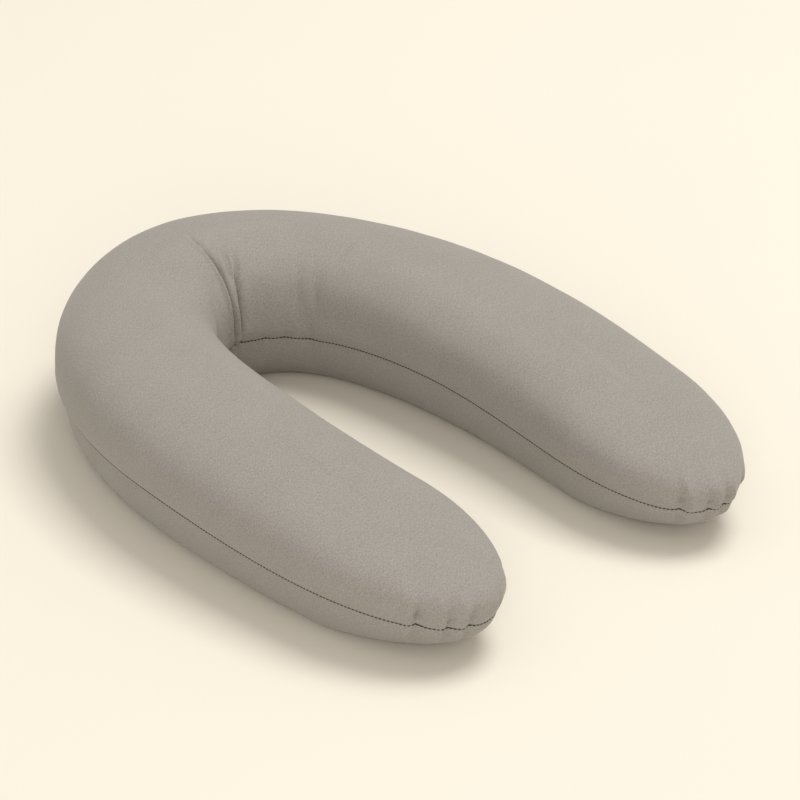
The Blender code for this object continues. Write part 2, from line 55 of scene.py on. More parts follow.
# ---- Sizes of the part, repeated ---------------------------------------------
HALF_LENGTH = 0.62
TIP_LENGTH = 0.137
BEND_RADIUS = 0.1285
ARM_TURN = radians(97.0)
ARM_CURVATURE = 0.67
MID_ARM = 0.30
HALF_WIDTHS = (0.0715, 0.0715, 0.0775, 0.0755)
HEIGHTS = (0.134, 0.126, 0.116, 0.099)
RIDGE_FALL = 0.15
SEAM_HEIGHTS = (0.045, 0.045, 0.051, 0.043)
TIP_SEAM_HEIGHT = 0.034
BULGE_RISE = 0.014
SEAM_INSET = 0.0056
CROWN_POWER = 2.75
FLAT_HALF_WIDTH = 0.046
SEAM_GAP = 0.0003
SLOT_HALF_HEIGHT = 0.004
SLOT_TAPER = 0.014
ZIP_LENGTH = 0.290
COIL_OUTER = 0.1933
COIL_INNER = 0.1919
COIL_HIGH = 0.0024
STOP_ROOM = 0.0036
LABEL_SIZE = (0.022, 0.030)
LABEL_DISTANCE = 0.045

RIM_RADIUS = BEND_RADIUS + HALF_WIDTHS[0] - SEAM_INSET
ZIP_HALF_ANGLE = ZIP_LENGTH / 2 / COIL_OUTER
SLOT_HALF_ANGLE = ZIP_HALF_ANGLE + STOP_ROOM / COIL_OUTER
BEND_HALF_ANGLE = SLOT_HALF_ANGLE + SLOT_TAPER / RIM_RADIUS
BEND_ARC = BEND_RADIUS * BEND_HALF_ANGLE
SLOT_END = BEND_RADIUS * SLOT_HALF_ANGLE
ARM_START = HALF_LENGTH - TIP_LENGTH
BEND_CURVATURE = 1 / BEND_RADIUS
EASE_LENGTH = (ARM_TURN - BEND_HALF_ANGLE - ARM_CURVATURE * (ARM_START - BEND_ARC)) / (
    BEND_CURVATURE - ARM_CURVATURE)
STATIONS = (0.0, BEND_ARC, MID_ARM, ARM_START)

# ---- The cover's grid -----------------------------------------------------------
PLEAT_STEP = 1.5 * MM         # between spokes along the centreline, at the pleat
PLEAT_LENGTH = 0.036          # how far those reach
BEND_STEP = 2.8 * MM          # then round the bend
ARM_STEP = 5.2 * MM           # and along the arms
FINE_LENGTH = 0.165           # how far the fine spokes reach
TIP_SPOKES = 132              # half-way round a tip
RIM_ROWS = (0.0, 0.25, 0.6, 1.0, 1.5, 2.1, 2.8, 3.7, 4.9, 6.5, 8.6, 11.3, 14.6)   # mm from the seam
UPPER_ROWS = 30               # from there up to the ridge
LOWER_ROWS = 17               # and down to the middle of the floor side
SECTION_POINTS = 400

# ---- How the cover is sewn and filled --------------------------------------------
FABRIC = 0.9 * MM             # jersey
ROLL_RADIUS = 0.6 * MM        # a panel's edge turns in to the seam round this
LIP_RISE = 0.3 * MM           # upper panel stands proud just above the seam
LIP_GIRTH = 2.4 * MM          # most at this distance from it
LIP_SPREAD = 1.5 * MM
BROAD_SOFTNESS = 0.75 * MM    # unevenness of the filling, over about 70 mm
BROAD_SCALE = 14.0            # 1/m
FINE_SOFTNESS = 0.22 * MM     # and over about 20 mm
FINE_SCALE = 45.0
SOFT_FADE = 12.0 * MM         # it fades out this close to the seam
START_INSET = 0.2 * MM        # the cloth starts this much inside the part's skin
INSET_FADE = 20.0 * MM        # but less than this far from the seam
CLOTH_PRESSURE = 0.6
CLOTH_FRAMES = 12
CLOTH_CAP = 2.0 * MM          # and ends within this of it
CALM_SHARE = 0.88             # beyond this share of the way to the ridge it moves as one
SIM_SKIP = 3                  # every third spoke carries the simulated cloth
SIM_UPPER_ROWS = 20
SIM_LOWER_ROWS = 13


# ================================================================================
# The spokes
# ================================================================================
def eased(distance, values, end_slope=0.0):
    """A size at distances along the centreline, on a smooth curve through the stations."""
    stations = np.array(STATIONS)
    values = np.array(values)
    rises = np.diff(values) / np.diff(stations)
    tilt = np.zeros(len(values))
    tilt[-1] = end_slope
    for i in range(1, len(values) - 1):
        before, after = rises[i - 1], rises[i]
        if before * after > 0:
            tilt[i] = 2 * before * after / (before + after)
    span = np.clip(np.searchsorted(stations, distance, side="right") - 1, 0, len(rises) - 1)
    length = np.diff(stations)[span]
    share = (distance - stations[span]) / length
    rest = 1 - share
    low = values[span] * (1 + 2 * share) + tilt[span] * length * share
    high = values[span + 1] * (1 + 2 * rest) - tilt[span + 1] * length * rest
    return low * rest ** 2 + high * share ** 2


def centreline(distances):
    """Points and headings of the right arm's centreline."""
    fine = np.linspace(0.0, ARM_START, 2001)
    middle = (fine[1:] + fine[:-1]) / 2
    fading = np.exp(np.minimum(BEND_ARC - middle, 0.0) / EASE_LENGTH)
    turning = (ARM_CURVATURE + (BEND_CURVATURE - ARM_CURVATURE) * fading) * fine[1]
    heading = np.concatenate([[0.0], np.cumsum(turning)])
    along = heading[:-1] + turning / 2
    x = np.concatenate([[0.0], np.cumsum(np.cos(along)) * fine[1]])
    y = np.concatenate([[0.0], -np.cumsum(np.sin(along)) * fine[1]]) + BEND_RADIUS
    points = np.stack([np.interp(distances, fine, x), np.interp(distances, fine, y)], axis=1)
    return points, np.interp(distances, fine, heading)


class Spokes:
    """Spokes in order round the seam, clockwise from above, starting at the back."""

    def __init__(self, distances, turns):
        feet, headings = centreline(distances)
        sideways = np.stack([np.sin(headings), np.cos(headings)], axis=1)
        forward = np.stack([np.cos(headings[-1:]), -np.sin(headings[-1:])], axis=1)
        half_width = eased(distances, HALF_WIDTHS)
        tip = HALF_WIDTHS[-1] * np.cos(turns)[:, None] * sideways[-1:]
        tip = tip + TIP_LENGTH * np.sin(turns)[:, None] * forward
        tip_reach = np.linalg.norm(tip, axis=1)
        tip_drop = (SEAM_HEIGHTS[-1] - TIP_SEAM_HEIGHT) * np.sin(turns) ** 2
        count, tips = len(distances), len(turns)

        def round_the_arm(side, tip_values):
            return np.concatenate([side, tip_values, side[::-1]])

        self.foot = round_the_arm(feet, np.repeat(feet[-1:], tips, axis=0))
        self.direction = np.concatenate([sideways, tip / tip_reach[:, None], -sideways[::-1]])
        self.reach = round_the_arm(half_width, tip_reach)
        self.height = round_the_arm(eased(distances, HEIGHTS, -RIDGE_FALL), np.full(tips, HEIGHTS[-1]))
        falls = RIDGE_FALL * TIP_LENGTH * np.sin(turns) / tip_reach
        self.fall = round_the_arm(np.zeros(count), falls)
        seam = eased(distances, SEAM_HEIGHTS)
        self.seam = round_the_arm(seam, SEAM_HEIGHTS[-1] - tip_drop)
        self.distance = round_the_arm(distances, np.full(tips, ARM_START))
        self.turn = np.concatenate([np.zeros(count), turns, np.full(count, pi)])
        closing = np.clip((distances - SLOT_END) / (BEND_ARC - SLOT_END), 0.0, 1.0)
        slot = SLOT_HALF_HEIGHT + (SEAM_GAP / 2 - SLOT_HALF_HEIGHT) * closing
        sewn = np.full(count + tips, SEAM_GAP / 2)
        self.slot = np.concatenate([slot, sewn])
        self.half = np.ones(len(self.reach))
        self.mirror()
        ends = (self.foot + self.reach[:, None] * self.direction)[:, 1]
        self.foot[:, 1] -= (ends.min() + ends.max()) / 2

    def mirror(self):
        """Adds the left half, which runs from the inner bend back to the outer."""
        for name, values in vars(self).items():
            left = values[-2:0:-1].copy()
            if name in ("foot", "direction"):
                left[:, 0] *= -1
            if name == "half":
                left *= -1
            setattr(self, name, np.concatenate([values, left]))

    def every(self, step):
        thinned = object.__new__(Spokes)
        for name, values in vars(self).items():
            setattr(thinned, name, values[::step])
        return thinned


def upper_section(spokes, offset=0.0):
    """Points (out, up) from the seam round the bulge and over the crown to the ridge."""
    reach = (spokes.reach - offset)[:, None]
    widest = (spokes.seam + BULGE_RISE)[:, None]
    crown = spokes.height[:, None] - offset - widest
    rim = (spokes.seam + spokes.slot)[:, None]
    share = np.linspace(1.0, 0.0, SECTION_POINTS // 8)[None, :]
    angle = np.linspace(0.0, pi / 2, SECTION_POINTS)[None, 1:]
    over = reach * np.maximum(np.cos(angle), 0.0) ** (2 / CROWN_POWER)
    rise = (crown - spokes.fall[:, None] * over) * np.sin(angle) ** (2 / CROWN_POWER)
    out = np.concatenate([reach - SEAM_INSET * share ** 2, over], axis=1)
    up = np.concatenate([widest + (rim - widest) * share, widest + rise], axis=1)
    out[:, -1] = 0.0
    return out, up


def lower_section(spokes, offset=0.0):
    """Points (out, up) from the seam round the lower edge and flat to the middle."""
    rim_out = (spokes.reach - offset - SEAM_INSET)[:, None]
    rim_up = (spokes.seam - spokes.slot)[:, None]
    angle = np.linspace(0.0, pi / 2, SECTION_POINTS)[None, :]
    out = FLAT_HALF_WIDTH + (rim_out - FLAT_HALF_WIDTH) * np.cos(angle)
    up = rim_up - (rim_up - offset) * np.sin(angle)
    middle = np.zeros((len(out), 1))
    return np.concatenate([out, middle], axis=1), np.concatenate([up, middle + offset], axis=1)


class Panel:
    """A grid on the spokes: one row of points per spoke, from the seam to the middle."""

    def __init__(self, spokes, section, girths_of):
        out, up = section
        steps = np.hypot(np.diff(out, axis=1), np.diff(up, axis=1))
        lengths = np.concatenate([np.zeros((len(out), 1)), np.cumsum(steps, axis=1)], axis=1)
        self.girth = np.array([girths_of(length[-1]) for length in lengths])
        self.total = lengths[:, -1]
        rows = list(zip(self.girth, lengths, out, up))
        self.out = np.array([np.interp(girth, length, o) for girth, length, o, _ in rows])
        self.up = np.array([np.interp(girth, length, u) for girth, length, _, u in rows])
        self.spokes = spokes
        direction = spokes.direction[:, None, :]
        plan = spokes.foot[:, None, :] + self.out[..., None] * direction
        self.points = np.concatenate([plan, self.up[..., None]], axis=2)
        rising = np.gradient(self.up, axis=1)
        outward = np.gradient(self.out, axis=1)
        sign = np.where(rising[:, :1] >= 0, 1.0, -1.0)
        length = np.maximum(np.hypot(rising, outward), 1e-9)
        plan = (sign * rising / length)[..., None] * direction
        self.normal = np.concatenate([plan, (-sign * outward / length)[..., None]], axis=2)

    def flat_pattern(self):
        """Where each point lies on the cloth as it was cut, in metres."""
        from_middle = self.total[:, None] - self.girth
        spokes = self.spokes
        return spokes.foot[:, None, :] + from_middle[..., None] * spokes.direction[:, None, :]


def fine_rows(count):
    """Rows close together at the seam, then evenly spaced to the middle."""
    rim = np.array(RIM_ROWS) * MM
    even = np.linspace(0.0, 1.0, count + 1)[1:]
    return lambda total: np.concatenate([rim, rim[-1] + (total - rim[-1]) * even])


def even_rows(count):
    return lambda total: total * np.linspace(0.0, 1.0, count + 1)


def cover_distances():
    pleat = np.arange(0.0, PLEAT_LENGTH, PLEAT_STEP)
    fine = np.arange(PLEAT_LENGTH, FINE_LENGTH, BEND_STEP)
    coarse = np.linspace(FINE_LENGTH, ARM_START, round((ARM_START - FINE_LENGTH) / ARM_STEP))
    return np.concatenate([pleat, fine, coarse])


# ================================================================================
# Meshes from grids
# ================================================================================
def deselect():
    if bpy.context.object and bpy.context.object.mode != "OBJECT":
        bpy.ops.object.mode_set(mode="OBJECT")
    bpy.ops.object.select_all(action="DESELECT")


def add_object(name, vertices, faces):
    mesh = bpy.data.meshes.new(name)
    mesh.from_pydata(vertices, [], faces)
    mesh.update()
    obj = bpy.data.objects.new(name, mesh)
    bpy.context.scene.collection.objects.link(obj)
    return obj


def weld(points, decimals=7):
    """Each distinct point once, and for each point which of those it is."""
    flat = points.reshape(-1, 3)
    _, first, which = np.unique(
        np.round(flat, decimals), axis=0, return_index=True, return_inverse=True)
    return flat[first], which.reshape(points.shape[:2])


def grid_faces(which, turned=False):
    """Faces between neighbouring columns all round the loop, without folded-up corners."""
    following = np.roll(which, -1, axis=0)
    corners = (which[:, :-1], following[:, :-1], following[:, 1:], which[:, 1:])
    quads = np.stack(corners, axis=-1).reshape(-1, 4)
    if turned:
        quads = quads[:, ::-1]
    faces = [list(dict.fromkeys(quad)) for quad in quads.tolist()]
    return [face for face in faces if len(face) > 2]


def apply_modifiers(obj):
    deselect()
    bpy.context.view_layer.objects.active = obj
    obj.select_set(True)
    for modifier in list(obj.modifiers):
        bpy.ops.object.modifier_apply(modifier=modifier.name)


def smooth(obj, angle=radians(45)):
    deselect()
    bpy.context.view_layer.objects.active = obj
    obj.select_set(True)
    bpy.ops.object.shade_smooth_by_angle(angle=angle)


# ================================================================================
# Filling the cover out
# ================================================================================
def simulate_cloth(obj, sewn):
    """Blows the cloth up like a filled cover, with its seam held."""
    held = obj.vertex_groups.new(name="seam")
    held.add(sewn, 1.0, "REPLACE")
    cloth = obj.modifiers.new("Cloth", "CLOTH")
    settings = cloth.settings
    settings.quality = 5
    settings.mass = 0.3
    settings.tension_stiffness = 15.0
    settings.compression_stiffness = 15.0
    settings.shear_stiffness = 5.0
    settings.bending_stiffness = 0.5
    settings.use_pressure = True
    settings.uniform_pressure_force = CLOTH_PRESSURE
    settings.effector_weights.gravity = 0.0
    settings.vertex_group_mass = "seam"
    cloth.point_cache.frame_start = 1
    cloth.point_cache.frame_end = CLOTH_FRAMES
    scene = bpy.context.scene
    for number in range(1, CLOTH_FRAMES + 1):
        scene.frame_set(number)
    apply_modifiers(obj)
    scene.frame_set(1)
    filled = np.array([vertex.co for vertex in obj.data.vertices])
    bpy.data.objects.remove(obj)
    return filled


def swelling(spokes):
    """How far the filled cloth moves each point of a coarse grid, capped."""
    upper = Panel(spokes, upper_section(spokes), even_rows(SIM_UPPER_ROWS))
    lower = Panel(spokes, lower_section(spokes), even_rows(SIM_LOWER_ROWS))
    middle = (upper.points[:, :1] + lower.points[:, :1]) / 2
    starts = []
    for panel in (upper, lower):
        inset = START_INSET * np.clip(panel.girth / INSET_FADE, 0.0, 1.0)[..., None]
        start = panel.points - inset * panel.normal
        start[:, :1] = middle
        starts.append(start)
    both = np.concatenate([starts[0][:, ::-1], starts[1][:, 1:]], axis=1)
    vertices, which = weld(both)
    obj = add_object("cloth", vertices.tolist(), grid_faces(which))
    filled = simulate_cloth(obj, which[:, SIM_UPPER_ROWS].tolist())[which]
    ends = (filled[:, SIM_UPPER_ROWS::-1], filled[:, SIM_UPPER_ROWS:])
    moves = []
    for panel, end in zip((upper, lower), ends):
        move = end - panel.points
        move[:, 0] = 0.0
        length = np.linalg.norm(move, axis=2, keepdims=True)
        moves.append(move * np.minimum(1.0, CLOTH_CAP / np.maximum(length, 1e-9)))
    return (upper, moves[0]), (lower, moves[1])


def spread(panel, coarse, move):
    """The coarse grid's movement at every point of a fine panel."""
    columns = np.array([
        [np.interp(np.minimum(fine / total, CALM_SHARE), rows / rows[-1], part) for part in one.T]
        for fine, total, rows, one in zip(
            panel.girth[::SIM_SKIP], panel.total[::SIM_SKIP], coarse.girth, move)])
    columns = columns.transpose(0, 2, 1)
    count = len(panel.points)
    at = np.arange(count) / SIM_SKIP
    low = np.floor(at).astype(int) % len(columns)
    high = (low + 1) % len(columns)
    rest = (at - np.floor(at))[:, None, None]
    spread_out = columns[low] * (1 - rest) + columns[high] * rest
    for _ in range(SIM_SKIP + 1):
        around = np.roll(spread_out, 1, axis=0) + np.roll(spread_out, -1, axis=0)
        spread_out = spread_out / 2 + around / 4
        inner = (spread_out[:, :-2] + spread_out[:, 2:]) / 4 + spread_out[:, 1:-1] / 2
        spread_out[:, 1:-1] = inner
    return spread_out


# ================================================================================
# Gathers and creases
# ================================================================================
BEND_REACH = 22.0 * MM        # how far along the seam a bend crease lifts it
TIP_REACH = 12.0 * MM         # and a tip gather
TIP_LIP = 0.6
TIP_SEAM_DEPTH = 0.28         # a tip gather's depth at the seam, as a share of its deepest
TIP_DEEPEST = 0.25            # where it is deepest, as a share of its length
TIP_LIFT = 0.35               # how far it lifts the seam, as a share of its depth
VALLEY_ROUNDING = 0.25        # of a crease's width: keeps its bottom from being a knife edge
LIP_PLACE = 1.9               # widths from the bottom of the crease to its lip
LIP_WIDTH = 1.4
LIFT_ROUNDING = 0.15
SAG = 0.35                    # how much the seam hangs between lifts, as a share of one
SAG_REACH = 3.0               # over this many reaches of the lift
# A crease runs along points (distance from the bend or turn round the tip, girth
# above the seam in mm, depth in mm). Its lip is the fold that stands up beside it.
def bend_crease(points, width, lip, lean=1, lift=0.0):
    """On the inner side of the bend; distances are mm along the centreline, left is negative."""
    return {"points": points, "width": width * MM, "lip": lip, "lean": lean, "tip": 0,
            "lift": lift * MM, "reach": BEND_REACH}


def tip_crease(half, turn, length, depth, width, start=0.0):
    """A short gather that runs up at a turn round a tip, from the seam or from above it."""
    low = 0.0 if start else depth * TIP_SEAM_DEPTH
    deepest = start + length * TIP_DEEPEST
    points = [(turn, start, low), (turn, deepest, depth), (turn, start + length, 0.0)]
    lift = 0.0 if start else depth * TIP_LIFT * MM
    return {"points": points, "width": width * MM, "lip": TIP_LIP, "lean": half, "tip": half,
            "lift": lift, "reach": TIP_REACH}


CREASES = [
    bend_crease([(-19, 0, 5.0), (-21, 14, 8.0), (-20, 37, 8.0), (-18, 60, 8.0), (-16, 80, 7.0),
                 (-13, 98, 5.0), (-10, 120, 2.6), (-6, 142, 0.0)], 1.7, 0.5, -1, lift=6.5),
    bend_crease([(2, 0, 3.0), (2, 20, 7.5), (3, 45, 8.0), (8, 66, 7.0), (16, 80, 4.6), (22, 94, 0.0)],
                2.2, 0.6, -1),
    bend_crease([(-7, 30, 0.0), (-6, 52, 3.0), (-2, 72, 5.0), (7, 92, 3.6), (17, 116, 0.0)], 2.6, 0.5, -1),
    bend_crease([(-62, 26, 0.0), (-52, 56, 1.8), (-45, 72, 2.8), (-39, 92, 1.8), (-34, 116, 0.0)],
                6.0, 0.5, -1),
    bend_crease([(56, 0, 1.5), (56, 16, 2.2), (55, 40, 1.2), (57, 62, 0.0)], 4.5, 0.4, 1),
    bend_crease([(93, 0, 1.2), (93, 16, 2.0), (91, 38, 0.0)], 5.0, 0.4, 1),
    bend_crease([(137, 0, 1.0), (138, 15, 1.7), (137, 34, 0.0)], 5.5, 0.4, 1),
    bend_crease([(120, 20, 0.0), (117, 44, 1.8), (113, 66, 1.3), (108, 86, 0.0)], 6.0, 0.4, 1),
    bend_crease([(148, 24, 0.0), (146, 46, 1.7), (140, 68, 1.1), (136, 86, 0.0)], 6.0, 0.4, 1),
    bend_crease([(32, 6, 0.8), (33, 24, 2.2), (36, 48, 1.6), (42, 70, 0.0)], 4.5, 0.45, 1),
    bend_crease([(-84, 0, 1.4), (-85, 18, 2.2), (-82, 44, 1.2), (-76, 66, 0.0)], 5.0, 0.4, -1),
    bend_crease([(-124, 0, 1.0), (-122, 18, 1.7), (-118, 42, 0.0)], 5.5, 0.4, -1),
    tip_crease(-1, 50, 46, 7.5, 3.6),
    tip_crease(-1, 66, 34, 6.0, 3.0),
    tip_crease(-1, 78, 40, 7.0, 3.2),
    tip_crease(-1, 100, 16, 2.0, 2.4, start=10),
    tip_crease(-1, 122, 28, 3.6, 4.2),
    tip_crease(1, 114, 44, 7.0, 3.4),
    tip_crease(1, 97, 36, 6.5, 3.2),
    tip_crease(1, 85, 38, 6.0, 3.2),
    tip_crease(1, 66, 30, 4.2, 4.2),
    tip_crease(1, 48, 26, 3.0, 4.2),
]
GATHER_REACH = 14.0 * MM      # how far from the seam its lifts can be seen
CALM_LENGTH = 22.0 * MM       # how far past the zip's end the cover still keeps flat
CALM_GIRTH = 11.0 * MM        # and how far from the seam


def column_of(spokes, half, distance, turn):
    miss = np.abs(spokes.distance - distance) + np.abs(spokes.turn - turn)
    return int(np.argmin(miss + 9.0 * (spokes.half * half < 0)))


def crease_route(panel, crease):
    """The crease's points on the panel, and its depth at each."""
    route = []
    for along, girth, _ in crease["points"]:
        if crease["tip"]:
            column = column_of(panel.spokes, crease["tip"], ARM_START, radians(along))
        else:
            column = column_of(panel.spokes, 1 if along >= 0 else -1, abs(along) * MM, pi)
        here = panel.points[column]
        route.append([np.interp(girth * MM, panel.girth[column], part) for part in here.T])
    return np.array(route), np.array([depth for _, _, depth in crease["points"]]) * MM


def crease_depth(panel, crease, side_of_lip):
    """How far the crease moves each point along its normal."""
    route, depths = crease_route(panel, crease)
    points = panel.points
    nearest = np.full(points.shape[:2], 9.0)
    across = np.zeros(points.shape[:2])
    depth = np.zeros(points.shape[:2])
    for start, end, deep, deeper in zip(route, route[1:], depths, depths[1:]):
        run = end - start
        share = np.clip((points - start) @ run / (run @ run), 0.0, 1.0)
        off = points - start - share[..., None] * run
        gap = np.linalg.norm(off, axis=2)
        side = np.cross(run / np.linalg.norm(run), panel.normal)
        closer = gap < nearest
        nearest = np.where(closer, gap, nearest)
        signed = gap * np.sign((off * side).sum(axis=2))
        across = np.where(closer, signed, across)
        depth = np.where(closer, deep + (deeper - deep) * share, depth)
    width = crease["width"]
    across = across * side_of_lip
    valley = np.exp(VALLEY_ROUNDING - np.hypot(across / width, VALLEY_ROUNDING))
    lip = crease["lip"] * np.exp(-((across - LIP_PLACE * width) / (LIP_WIDTH * width)) ** 2)
    return depth * (lip - valley)


def seam_lift(panel):
    """How far the gathers draw the seam up; it hangs a little between them."""
    rise = np.zeros(panel.points.shape[:2])
    near_seam = np.exp(-panel.girth / GATHER_REACH)
    for crease in CREASES:
        if crease["lift"]:
            route, _ = crease_route(panel, crease)
            gap = np.linalg.norm(panel.points[:, :1] - route[0], axis=2) / crease["reach"]
            wave = np.exp(-np.hypot(gap, LIFT_ROUNDING)) - SAG * np.exp(-(gap / SAG_REACH) ** 2)
            rise = rise + crease["lift"] * wave * near_seam
    return rise


def softness(panel):
    """The slight unevenness of a filled cover."""
    rows = []
    apart = Vector((5, 0, 0))
    for column in panel.points:
        broad = [noise.noise(Vector(point) * BROAD_SCALE) for point in column]
        small = [noise.noise(Vector(point) * FINE_SCALE + apart) for point in column]
        rows.append(BROAD_SOFTNESS * np.array(broad) + FINE_SOFTNESS * np.array(small))
    fading = np.clip(panel.girth / SOFT_FADE, 0.0, 1.0)
    return np.array(rows) * fading


def calm_at_zip(panel):
    """0 beside the zip, where the cover keeps to the part's skin to leave the pull room, else 1."""
    spokes = panel.spokes
    past = (spokes.distance - BEND_ARC - CALM_LENGTH) / CALM_LENGTH
    along = np.where(spokes.turn > 0, 1.0, np.clip(past, 0.0, 1.0))
    above = np.clip((panel.girth - CALM_GIRTH) / CALM_GIRTH, 0.0, 1.0)
    return np.maximum(along[:, None], above)


def roll_in(panel):
    """The panel's edge turns in to the seam."""
    near = np.clip(ROLL_RADIUS - panel.girth, 0.0, None)
    return ROLL_RADIUS - np.sqrt(ROLL_RADIUS ** 2 - near ** 2)


def shape_panel(panel, move, is_upper):
    """The panel's points once it is filled, gathered and sewn."""
    normal = panel.normal
    calm = calm_at_zip(panel)
    points = panel.points + move * calm[..., None]
    shift = softness(panel)
    near_seam = np.exp(-panel.girth / GATHER_REACH)
    for crease in CREASES:
        if is_upper:
            shift = shift + crease_depth(panel, crease, crease["lean"])
        elif crease["points"][0][1] == 0:
            shift = shift + crease_depth(panel, crease, -crease["lean"]) * near_seam
    if is_upper:
        lip = np.exp(-((panel.girth - LIP_GIRTH) / LIP_SPREAD) ** 2)
        shift = shift + LIP_RISE * lip
    shift = shift * calm
    points = points + shift[..., None] * normal
    outward = np.zeros_like(points)
    outward[..., :2] = panel.spokes.direction[:, None, :]
    points = points - roll_in(panel)[..., None] * outward
    points[..., 2] += seam_lift(panel)
    points[..., 2] = np.maximum(points[..., 2], 0.0)
    middle = points[:, -1].copy()
    middle[:, 0] = np.where(np.abs(middle[:, 0]) < 1e-6, 0.0, middle[:, 0])
    points[:, -1] = middle
    return points


def close_middle(points, panel):
    """Points that start as one, at the ridge or under it, end as one."""
    _, which = weld(panel.points[:, -1:])
    which = which[:, 0]
    total = np.zeros((which.max() + 1, 3))
    np.add.at(total, which, points[:, -1])
    points[:, -1] = (total / np.bincount(which)[:, None])[which]
    return points


def make_panel(name, panel, move, is_upper):
    points = close_middle(shape_panel(panel, move, is_upper), panel)
    vertices, which = weld(points)
    obj = add_object(name, vertices.tolist(), grid_faces(which, turned=is_upper))
    pattern = panel.flat_pattern().reshape(-1, 2)
    where = np.zeros((len(vertices), 2))
    where[which.reshape(-1)] = pattern
    uv = obj.data.uv_layers.new(name="cut")
    corners = np.zeros(len(obj.data.loops), int)
    obj.data.loops.foreach_get("vertex_index", corners)
    uv.data.foreach_set("uv", where[corners].reshape(-1).astype(np.float32))
    thickness = obj.modifiers.new("Fabric", "SOLIDIFY")
    thickness.thickness = FABRIC
    thickness.offset = -1.0
    apply_modifiers(obj)
    smooth(obj, radians(60))
    return obj, points


# ================================================================================
# Stitches and zip
# ================================================================================
def take_mesh(obj):
    """A modelled piece's points and faces; the piece itself is removed."""
    vertices = np.array([vertex.co for vertex in obj.data.vertices])
    faces = [list(face.vertices) for face in obj.data.polygons]
    bpy.data.objects.remove(obj)
    return vertices, faces


def copies(name, model, places):
    """One mesh of many copies of a small shape, each turned and moved to its place."""
    vertices, faces = model
    points = []
    all_faces = []
    for place in places:
        base = len(points) * len(vertices)
        turned = vertices @ np.array(place.to_3x3()).T + np.array(place.translation)
        points.append(turned)
        all_faces += [[base + i for i in face] for face in faces]
    obj = add_object(name, np.concatenate(points).tolist(), all_faces)
    smooth(obj, radians(60))
    return obj


def stitch_model(length, thickness):
    """One stitch: a short thread that sinks in at both ends."""
    deselect()
    bpy.ops.mesh.primitive_uv_sphere_add(segments=8, ring_count=6, radius=0.5, rotation=(0, pi / 2, 0))
    stitch = bpy.context.object
    stitch.scale = (thickness, thickness, length)
    bpy.ops.object.transform_apply(location=False, rotation=True, scale=True)
    return take_mesh(stitch)


def along(points, pitch):
    """Evenly spaced places along a line of points, and the line's direction there."""
    steps = np.linalg.norm(np.diff(points, axis=0), axis=1)
    length = np.concatenate([[0.0], np.cumsum(steps)])
    at = np.arange(pitch / 2, length[-1], pitch)

    def read(where):
        return np.stack([np.interp(where, length, part) for part in points.T], axis=1)

    return read(at), read(at + pitch / 4) - read(at - pitch / 4)


def stitch_places(points, pitch, tilt=0.0):
    places = []
    for point, run in zip(*along(points, pitch)):
        run = Vector(run).normalized()
        side = run.cross(Vector((0, 0, 1))).normalized()
        up = side.cross(run)
        turn = Matrix((run, side, up)).transposed().to_4x4()
        places.append(Matrix.Translation(point) @ turn @ Matrix.Rotation(tilt, 4, "Y"))
    return places


SEAM_STITCH = 3.4 * MM                      # from one stitch to the next
SEAM_STITCH_SIZE = (2.2 * MM, 1.3 * MM)     # length, thickness
SEAM_STITCH_OUT = 0.85 * MM                 # from the rolled-in edges out to the thread
SEAM_STITCH_TILT = radians(5)
ZIP_STITCH = 2.5 * MM
ZIP_STITCH_SIZE = (2.0 * MM, 0.6 * MM)
ZIP_STITCH_GIRTH = 2.6 * MM                 # from the slot's edge
ZIP_STITCH_OUT = 0.15 * MM
TOOTH_PITCH = 1.25 * MM
TOOTH_WIDTH = 0.62 * MM
TOOTH_OVERLAP = 0.35 * MM                   # heads reach past the middle by this
TOOTH_CUTS = (0.25 * MM, 1.1 * MM)          # rings that let the head be shaped
HEAD_END = 0.3 * MM
HEAD_WIDENING = 1.35
HEAD_THINNING = 0.75
LABEL_CURL = 0.9 * MM
LABEL_WAVE = 0.5 * MM
LABEL_THICKNESS = 0.3 * MM


def make_seam_stitches(upper, lower, spokes):
    """Stitches sunk in the seam, all round but for the zip."""
    seam = (upper[:, 0] + lower[:, 0]) / 2
    seam[:, :2] += SEAM_STITCH_OUT * spokes.direction
    sewn = np.flatnonzero(spokes.slot <= SEAM_GAP / 2 + 1e-9)
    line = seam[sewn[0]:sewn[-1] + 1]
    places = stitch_places(line, SEAM_STITCH, SEAM_STITCH_TILT)
    return copies("seam_stitches", stitch_model(*SEAM_STITCH_SIZE), places)


def on_panel(points, panel, column, girth):
    here = points[column]
    return [np.interp(girth, panel.girth[column], part) for part in here.T]


def make_zip_stitches(name, points, panel):
    """A row of stitches beside the slot, through the tape behind it."""
    spokes = panel.spokes
    slotted = np.flatnonzero((spokes.slot >= SLOT_HALF_HEIGHT - 1e-9))
    ordered = slotted[np.argsort(spokes.foot[slotted, 0])]
    line = np.array([on_panel(points, panel, column, ZIP_STITCH_GIRTH) for column in ordered])
    line[:, :2] += ZIP_STITCH_OUT * spokes.direction[ordered]
    return copies(name, stitch_model(*ZIP_STITCH_SIZE), stitch_places(line, ZIP_STITCH))


